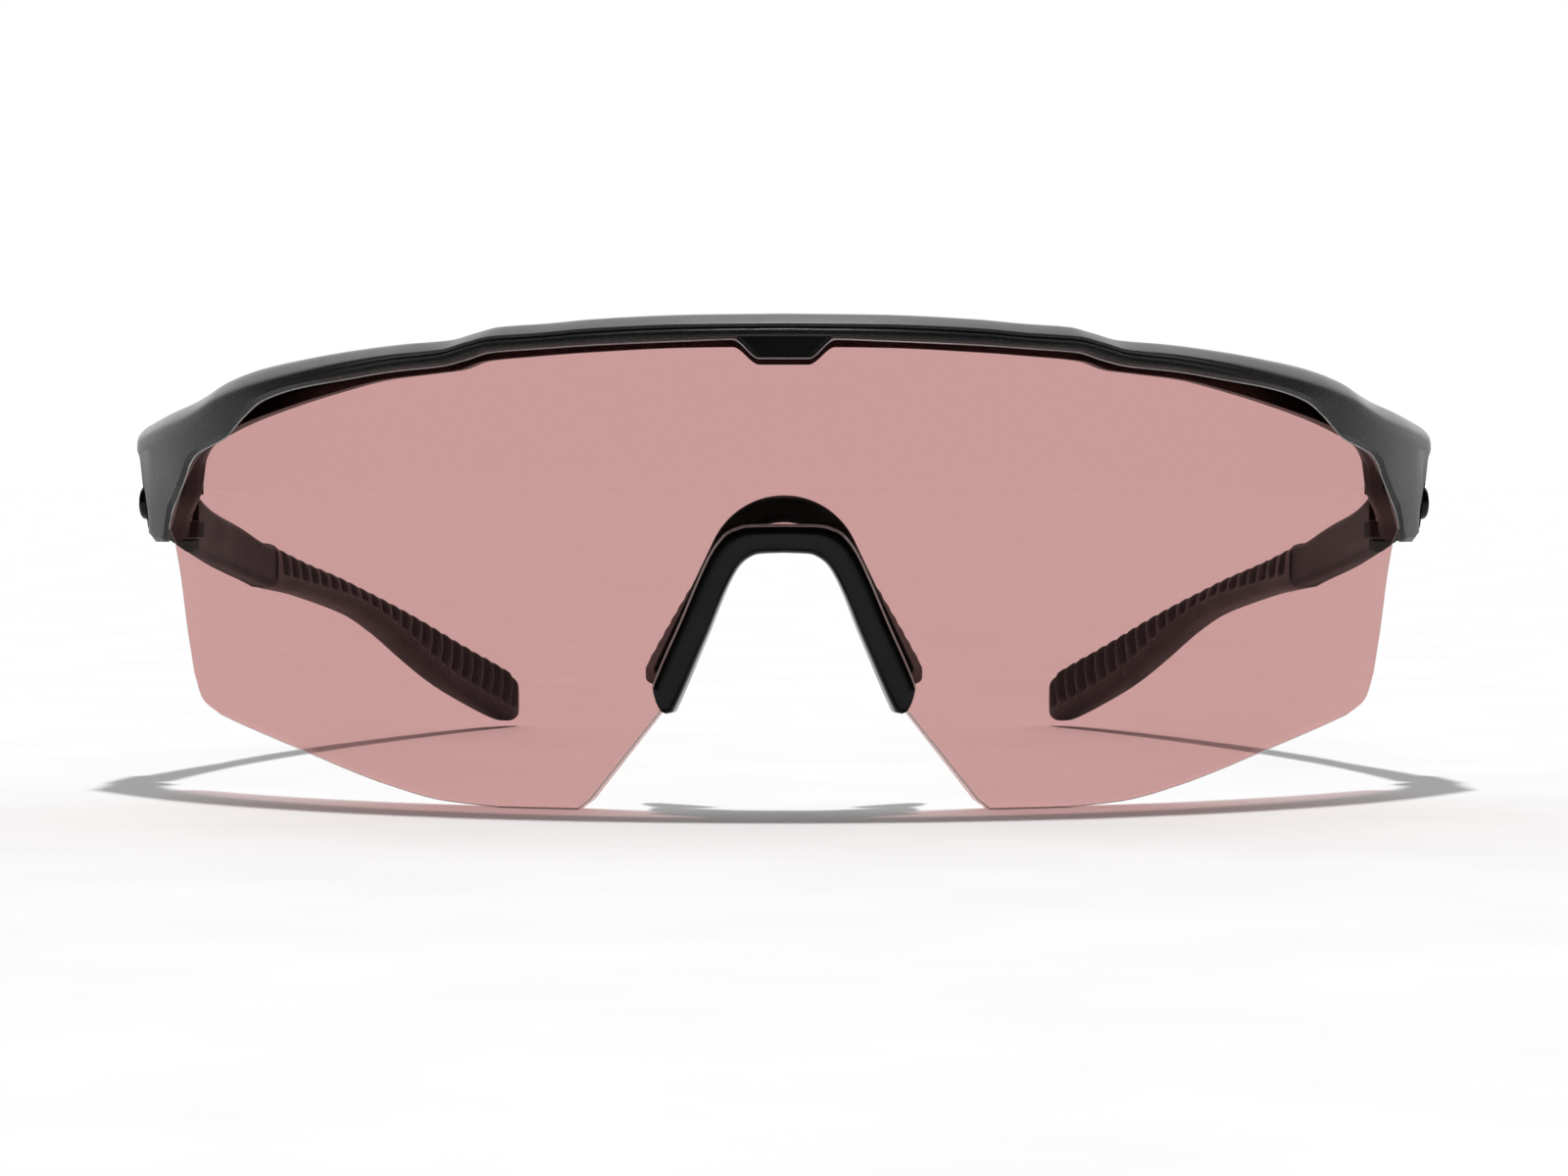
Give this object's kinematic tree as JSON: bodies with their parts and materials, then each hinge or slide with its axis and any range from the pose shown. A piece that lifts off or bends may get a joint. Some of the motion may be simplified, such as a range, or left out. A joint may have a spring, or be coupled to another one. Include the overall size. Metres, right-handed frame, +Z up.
{
  "type": "wraparound sport sunglasses",
  "caption": "Half-rim sport sunglasses: one curved rose-tinted shield lens, matt dark brow bar, gloss nose clip with soft pads, folding ribbed temples.",
  "frame": {"origin": "bottom centre of the whole object's box: on the surface it rests on, midway across and midway between the brow's front and the temple tips", "axes": "+X to the wearer's left, +Y back along the temples (the front faces -Y), +Z up"},
  "size_m": [0.1452, 0.1516, 0.0509],
  "materials": {
    "frame_plastic": "satin, finely grained",
    "gloss_black": "polished",
    "lens_tint": "clear rose tint",
    "saddle_plastic": "satin",
    "pad_rubber": "soft matt",
    "screw_steel": "bright",
    "nut_brass": "machined",
    "washer_nylon": "satin",
    "arm_plastic": "satin, finely grained",
    "grip_rubber": "soft matt, ribbed",
    "wire_titanium": "drawn",
    "badge_gloss": "polished"
  },
  "bodies": {
    "front": {"brow_frame": "frame_plastic", "brow_keystone": "gloss_black", "shield_lens": "lens_tint", "nose_clip": "gloss_black", "nose_saddle": "saddle_plastic", "nose_pad_left": "pad_rubber", "nose_pad_right": "pad_rubber", "hinge_screw_left": "screw_steel", "hinge_screw_right": "screw_steel", "hinge_nut_left": "nut_brass", "hinge_nut_right": "nut_brass", "hinge_washers_left": "washer_nylon", "hinge_washers_right": "washer_nylon"},
    "temple_left": {"temple_arm_left": "arm_plastic", "temple_grip_left": "grip_rubber", "core_wire_left": "wire_titanium", "temple_badge_left": "badge_gloss"},
    "temple_right": {"temple_arm_right": "arm_plastic", "temple_grip_right": "grip_rubber", "core_wire_right": "wire_titanium", "temple_badge_right": "badge_gloss"}
  },
  "joints": [
    {"name": "hinge_left", "type": "hinge", "parent": "front", "child": "temple_left", "pos_m": [0.06814, -0.02807, 0.0306], "axis": [0, 0, 1], "range_deg": [0, 82]},
    {"name": "hinge_right", "type": "hinge", "parent": "front", "child": "temple_right", "pos_m": [-0.06814, -0.02807, 0.0306], "axis": [0, 0, -1], "range_deg": [0, 74]}
  ]
}
